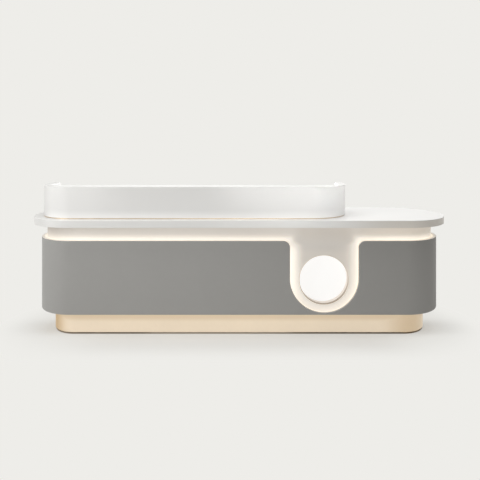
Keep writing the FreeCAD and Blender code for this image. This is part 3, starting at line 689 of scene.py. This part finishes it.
def bridge(mesh, first, second):
    """Faces between two rows of points."""
    for step in range(len(first) - 1):
        mesh.faces.new((first[step], first[step + 1], second[step + 1], second[step]))


def flat(u, v, w):
    return (u, v, w)


def upright(u, v, w):
    return (u, w, v)


def prism(loops, low, high, lay):
    """A plate between two levels, from its outline and any holes; lay puts (u, v, level) on the desk."""
    mesh = bmesh.new()
    sides = []
    for level in (low, high):
        rings = [[mesh.verts.new(lay(u, v, level)) for u, v in loop] for loop in loops]
        rims = []
        for ring in rings:
            rims.extend(mesh.edges.new(pair) for pair in zip(ring, ring[1:] + ring[:1]))
        bmesh.ops.triangle_fill(mesh, edges=rims, use_beauty=True)
        sides.append(rings)
    for lower, upper in zip(*sides):
        bridge(mesh, lower + lower[:1], upper + upper[:1])
    bmesh.ops.dissolve_limit(mesh, angle_limit=FLAT_ANGLE, verts=mesh.verts, edges=mesh.edges)
    return mesh


def swept(line, section):
    """A band whose section, a loop of (radius, level), follows a plan line that line(radius) gives."""
    mesh = bmesh.new()
    rails = [[mesh.verts.new((x, y, level)) for x, y in line(radius)] for radius, level in section]
    for rail, following in zip(rails, rails[1:] + rails[:1]):
        bridge(mesh, rail, following)
    for tip in (0, -1):
        mesh.faces.new([rail[tip] for rail in rails])
    return mesh


def eased_copy(node, ease):
    """A CAD board, front or bar with its edges rounded."""
    mesh = bmesh.new()
    mesh.from_mesh(frame["nodes"][node].data)
    bmesh.ops.remove_doubles(mesh, verts=mesh.verts, dist=JOIN_DISTANCE)
    bmesh.ops.dissolve_limit(mesh, angle_limit=FLAT_ANGLE, verts=mesh.verts, edges=mesh.edges)
    add_piece(node + "_eased", mesh, [node], ease)


# Worktop and raised screen

def make_worktop():
    outline = arc((END_X, 0), TOP_RADIUS, -90, 90) + arc((-END_X, 0), TOP_RADIUS, 90, 270)
    ports_low, ports_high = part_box("grommets")
    port_y = (ports_low.y + ports_high.y) / 2
    lip = (ports_high.y - ports_low.y) / 2
    holes = []
    for port_x in (ports_low.x + lip, ports_high.x - lip):
        holes.append(circle((port_x, port_y), lip - PORT_LIP, PORT_POINTS))
    slab = prism([outline] + holes, UNDER_TOP, TOP_Z, flat)
    add_piece("worktop_slab", slab, ["worktop"], WORKTOP_EASE)


def screen_path(radius, back):
    """The screen's plan line, from its left end round the front to its right end."""
    right = hutch_high.x - HUTCH_RADIUS
    turns = arc((-END_X, 0), radius, 180, 270) + arc((right, 0), radius, -90, 0)
    return [(-END_X - radius, back)] + turns + [(right + radius, back)]


def screen_plan(radius, wall, back):
    """The outline of a wall that follows the screen's plan line."""
    return screen_path(radius, back) + screen_path(radius - wall, back)[::-1]


def make_screen():
    """The wall laps over the trim strip under it."""
    seam = trim_high.z - SCREEN_LAP
    wall = prism([screen_plan(HUTCH_RADIUS, HUTCH_WALL, hutch_high.y)], seam, hutch_high.z, flat)
    add_piece("screen_wall", wall, ["hutch_wall"], SCREEN_EASE)
    trim_radius = HUTCH_RADIUS - (trim_low.x - hutch_low.x)
    trim = prism([screen_plan(trim_radius, TRIM_WALL, trim_high.y)], trim_low.z, seam, flat)
    add_piece("screen_trim", trim, ["hutch_trim"], TRIM_EASE)


# Cladding, plinth and lamp ring

def cladding_edge():
    """The cladding's upper edge from the front: level, with the U and its rounded shoulders."""
    left = U_X - U_RADIUS - U_CORNER
    right = U_X + U_RADIUS + U_CORNER
    edge = [(-END_X, CLAD_TOP)]
    edge += arc((left, U_SHOULDER), U_CORNER, 90, 0, CORNER_STEPS)
    edge += arc((U_X, U_Z), U_RADIUS, 180, 360, U_STEPS)
    edge += arc((right, U_SHOULDER), U_CORNER, 180, 90, CORNER_STEPS)
    return edge + [(END_X, CLAD_TOP)]


def cladding_skin(mesh, radius):
    """One side of the sheet: its front and both round ends; returns its upper and lower edge."""
    front_high = [mesh.verts.new((x, -radius, z)) for x, z in cladding_edge()]
    front_low = [mesh.verts.new((x, -radius, CLAD_BOTTOM)) for x in (-END_X, END_X)]
    mesh.faces.new(front_low + front_high[::-1])
    ends = []
    for tip, centre_x, angles in ((0, -END_X, (270, 90)), (-1, END_X, (-90, 90))):
        turn = arc((centre_x, 0), radius, *angles)[1:]
        high = [front_high[tip]] + [mesh.verts.new((x, y, CLAD_TOP)) for x, y in turn]
        low = [front_low[tip]] + [mesh.verts.new((x, y, CLAD_BOTTOM)) for x, y in turn]
        bridge(mesh, low, high)
        ends.append((high, low))
    (left_high, left_low), (right_high, right_low) = ends
    return left_high[::-1] + front_high[1:-1] + right_high, left_low[::-1] + right_low


def make_cladding():
    """One sheet bent round both ends, with the U cut out of its front."""
    mesh = bmesh.new()
    outer_high, outer_low = cladding_skin(mesh, CLAD_RADIUS)
    inner_high, inner_low = cladding_skin(mesh, CLAD_INSIDE)
    bridge(mesh, outer_high, inner_high)
    bridge(mesh, outer_low, inner_low)
    for tip in (0, -1):
        mesh.faces.new((outer_high[tip], inner_high[tip], inner_low[tip], outer_low[tip]))
    add_piece("cladding_shell", mesh, ["cladding_front", "cladding_ends"], CLADDING_EASE)


def plinth_line(radius):
    """The plinth's plan line, from one side of the knee space round to the other."""
    ends = arc((-END_X, 0), radius, 90, 270) + arc((END_X, 0), radius, -90, 90)
    return [(KNEE_LEFT, radius)] + ends + [(KNEE_RIGHT, radius)]


def make_plinth_band():
    """One sheet round the plinth, open at the knee space, with its foot rolled in."""
    top = plinth_high.z
    bottom = plinth_low.z - HEM_DROP
    section = [(PLINTH_INSIDE, top), (PLINTH_RADIUS, top)]
    section += arc((PLINTH_RADIUS - HEM_ROLL, bottom + HEM_ROLL), HEM_ROLL, 0, -90, ROLL_STEPS)
    section += [(PLINTH_INSIDE, bottom)]
    nodes = ["plinth_skin_front", "plinth_skin_ends", "plinth_skin_back"]
    add_piece("plinth_band", swept(plinth_line, section), nodes, PLINTH_EASE)


def make_bezel():
    """The lamp's ring: a metal lip over the disc's rim, in a pale flange that takes the lining's painted
    glow.
    """
    low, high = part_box("lamp_bezel")
    outer = (high.x - low.x) / 2
    radii = (outer, outer - FLANGE_WIDTH, outer - BEZEL_WIDTH)
    rims = [circle((lamp_centre.x, lamp_centre.z), radius, RING_POINTS) for radius in radii]
    flange = prism(rims[:2], low.y + LIP_PROUD, high.y, upright)
    flange_piece = add_piece("lamp_flange", flange, ["lamp_bezel"], RING_EASE)
    flange_piece.data.materials[0] = finishes["lit_lining"]
    lip = prism(rims[1:], low.y, high.y, upright)
    add_piece("lamp_ring", lip, ["lamp_bezel"], RING_EASE)


# Fronts, handles and boards
FIXED_BOARDS = (
    "hutch_ledge",
    "hutch_dividers",
    "gable_left",
    "gable_right",
    "pedestal_side",
    "cupboard_side",
    "cupboard_shelf",
    "deck_left",
    "deck_right",
)


def make_eased_copies():
    for node in frame["nodes"]:
        drawer_piece = node.startswith("drawer") and node.endswith(("_front", "_handle"))
        if drawer_piece or node.startswith(("door_left", "door_right")):
            eased_copy(node, FRONT_EASE)
    for node in FIXED_BOARDS:
        eased_copy(node, BOARD_EASE)


make_worktop()
make_screen()
make_cladding()
make_plinth_band()
make_bezel()
make_eased_copies()


# Stage

def floor_shadow(tree, shape):
    """How much of the desk's shadow the floor keeps, less and less further out."""
    along = ramp(tree, shape["Reach"], (PLINTH_RADIUS + 0.14, SHADOW_REACH), (SHADOW_SHARE, 0))
    past_end = ramp(tree, shape["Past End"], SHADOW_TURN, (0, 1))
    around = ramp(tree, shape["Reach"], (PLINTH_RADIUS + 0.03, SHADOW_REACH), (1, 0))
    beside = hump(tree, shape["Depth"], SHADOW_END_RISE, SHADOW_END_FALL, SHADOW_END_SHARES)
    return mix_values(tree, past_end, along, math_node(tree, "MULTIPLY", around, beside))


def floor_hem_shade_mask(tree, shape):
    """Painted shade on the floor under the plinth's hem, a darker, browner strip where the floor also keeps
    its full shadow; the knee space interrupts it.
    """
    start = ramp(tree, shape["Reach"], (PLINTH_RADIUS - 0.055, PLINTH_RADIUS - 0.035), (0, 1))
    stop = ramp(tree, shape["Reach"], (PLINTH_RADIUS - 0.006, PLINTH_RADIUS + 0.001), (1, 0))
    at_front = ramp(tree, shape["Depth"], (-0.06, 0.06), (1, 0))
    left_of_knees = ramp(tree, shape["Side"], (KNEE_LEFT - 0.02, KNEE_LEFT), (1, 0))
    right_of_knees = ramp(tree, shape["Side"], (KNEE_RIGHT, KNEE_RIGHT + 0.02), (0, 1))
    covered = chain(tree, "MAXIMUM", at_front, left_of_knees, right_of_knees)
    return chain(tree, "MULTIPLY", start, stop, covered)


def make_floor_paint():
    """Pale paint that keeps the shadow near the desk and takes the backdrop's colour further out."""
    material, tree, shader = new_finish("pale_floor")
    material.cycles.emission_sampling = "NONE"
    clouds = {"Colour": FLOOR_COLOUR, "Cloud_Scale": FLOOR_CLOUDS, "Depth": FLOOR_DRIFT}
    mottle = place_group(tree, mottle_group, **clouds)
    shape = place_group(tree, reach_group)
    hem_shade = floor_hem_shade_mask(tree, shape)
    hem_shaded = colour_mix(tree, "MIX", hem_shade, mottle["Colour"], FLOOR_HEM_SHADE_COLOUR)
    fade = math_node(tree, "SUBTRACT", 1.0, math_node(tree, "MAXIMUM", floor_shadow(tree, shape), hem_shade))
    path = add_node(tree, "ShaderNodeLightPath")
    seen = math_node(tree, "MULTIPLY", path.outputs["Is Camera Ray"], fade)
    gone = math_node(tree, "MAXIMUM", seen, path.outputs["Is Glossy Ray"])
    tree.links.new(colour_mix(tree, "MIX", gone, hem_shaded, BLACK), shader.inputs["Base Color"])
    give_light(material, colour_mix(tree, "MIX", gone, BLACK, BACKDROP), 1.0)
    shader.inputs["Roughness"].default_value = FLOOR_ROUGHNESS
    shader.inputs["Specular IOR Level"].default_value = 0.0
    return material


def make_floor():
    mesh = bmesh.new()
    bmesh.ops.create_circle(mesh, cap_ends=True, segments=FLOOR_POINTS, radius=FLOOR_RADIUS)
    data = bpy.data.meshes.new("floor")
    mesh.to_mesh(data)
    mesh.free()
    data.materials.append(make_floor_paint())
    floor = bpy.data.objects.new("floor", data)
    bpy.context.scene.collection.objects.link(floor)


def make_world():
    """An even room that shows and reflects as the backdrop and lights a little."""
    world = bpy.data.worlds.new("studio")
    bpy.context.scene.world = world
    world.use_nodes = True
    tree = world.node_tree
    tree.nodes.clear()
    seen = add_node(tree, "ShaderNodeBackground")
    seen.inputs["Color"].default_value = BACKDROP
    lighting = add_node(tree, "ShaderNodeBackground")
    lighting.inputs["Color"].default_value = ROOM_LIGHT
    lighting.inputs["Strength"].default_value = ROOM_STRENGTH
    path = add_node(tree, "ShaderNodeLightPath")
    rays = [path.outputs[name] for name in ("Is Camera Ray", "Is Glossy Ray", "Is Transmission Ray")]
    mix = add_node(tree, "ShaderNodeMixShader")
    output = add_node(tree, "ShaderNodeOutputWorld")
    tree.links.new(chain(tree, "MAXIMUM", *rays), mix.inputs["Fac"])
    tree.links.new(lighting.outputs["Background"], mix.inputs[1])
    tree.links.new(seen.outputs["Background"], mix.inputs[2])
    tree.links.new(mix.outputs["Shader"], output.inputs["Surface"])


# Lights, by name: place, aim, width and height, watts, spread in radians
WIDE = math.pi
SOFTBOXES = {
    "top": ((0.5, -0.2, 3.4), (0.5, -0.2, 0), (5.2, 2.0), 82, WIDE),
    "left_front": ((-2.8, -2.0, 1.6), (-0.9, 0, 0.6), (1.4, 1.4), 33.5, WIDE),
    "left": ((-3.2, -0.5, 1.3), (-1.2, 0, 0.6), (1.6, 1.6), 3.9, WIDE),
    "front_low": ((-0.15, -3.4, 1.1), (-0.05, 0, 0.5), (1.0, 1.0), 2.55, 1.3),
    "back": ((-0.5, 2.6, 2.4), (0, 0, 0.8), (2.4, 1.4), 5, WIDE),
    "back_right": ((1.95, 2.8, 1.35), (1.05, -0.1, 0.8), (1.7, 0.6), 0.14, 0.8),
    "back_low": ((0, 3.2, 0.5), (0, 0, 0.42), (2.8, 0.5), 35, WIDE),
    "screen_left": ((0.22, -2.0, 1.02), (0.22, 0, 0.93), (0.6, 0.06), 0.06, 0.24),
    "screen_end": ((-1.15, -2.0, 1.02), (-1.06, 0, 0.93), (0.4, 0.06), 0.020, 0.24),
    "screen_middle": ((0.48, -2.0, 1.0), (0.48, 0, 0.82), (0.6, 0.05), 0.085, 0.30),
    "screen_right": ((1.3, -1.9, 1.05), (0.58, 0, 0.95), (0.3, 0.05), 0.10, 0.23),
}


def add_softbox(name, place, aim, size, power, spread):
    lamp = bpy.data.lights.new(name, "AREA")
    lamp.shape = "RECTANGLE"
    lamp.size, lamp.size_y = size
    lamp.energy = power
    lamp.spread = spread
    softbox = bpy.data.objects.new(name, lamp)
    softbox.location = place
    softbox.rotation_euler = (Vector(aim) - Vector(place)).to_track_quat("-Z", "Y").to_euler()
    bpy.context.scene.collection.objects.link(softbox)


def make_camera():
    """The photograph's view: level, with the lens shifted down so that uprights stay upright."""
    lens = bpy.data.cameras.new("view")
    lens.sensor_width = VIEW_SENSOR
    lens.lens = VIEW_LENS
    lens.shift_x, lens.shift_y = VIEW_SHIFT
    camera = bpy.data.objects.new("view", lens)
    camera.location = VIEW_PLACE
    camera.rotation_euler = (math.radians(90), 0, 0)
    bpy.context.scene.collection.objects.link(camera)
    bpy.context.scene.camera = camera


make_floor()
make_world()
for name, settings in SOFTBOXES.items():
    add_softbox(name, *settings)
make_camera()
bpy.context.scene.view_settings.view_transform = "Standard"
